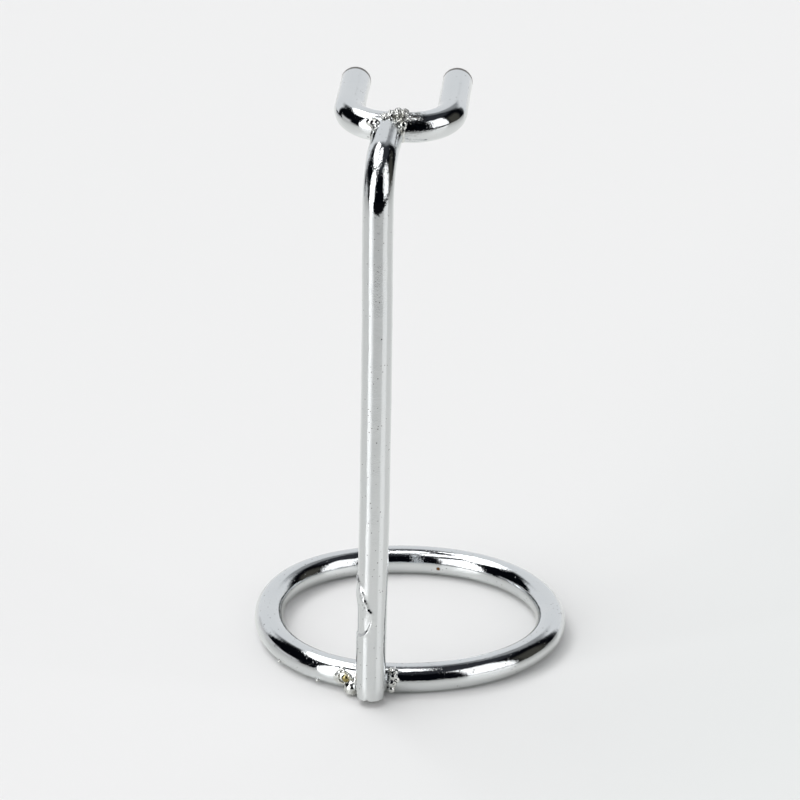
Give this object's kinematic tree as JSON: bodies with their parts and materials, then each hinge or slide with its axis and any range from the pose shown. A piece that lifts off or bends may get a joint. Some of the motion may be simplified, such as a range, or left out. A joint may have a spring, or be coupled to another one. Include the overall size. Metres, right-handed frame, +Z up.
{
  "type": "test tube holder",
  "caption": "Free-standing holder of plated round rod: a ring base, an upright bent over at the top and a level U-shaped fork that holds a rimmed tube.",
  "frame": {"origin": "middle of the footprint, on the surface the holder stands on", "axes": "+Z up, +Y the way the prongs point, +X to the right"},
  "size_m": [0.0654, 0.0714, 0.1224],
  "materials": {
    "chrome_rod": "bright chrome plate on steel rod, with fine scratches and small pits",
    "weld_metal": "rough lumpy weld bead, plated over, with dull and yellow-brown specks"
  },
  "bodies": {
    "root": {"base_ring": "chrome_rod", "upright": "chrome_rod", "fork": "chrome_rod", "weld_base_left": "weld_metal", "weld_base_right": "weld_metal", "weld_fork_left": "weld_metal", "weld_fork_right": "weld_metal", "weld_fork_cap": "weld_metal"}
  },
  "joints": []
}
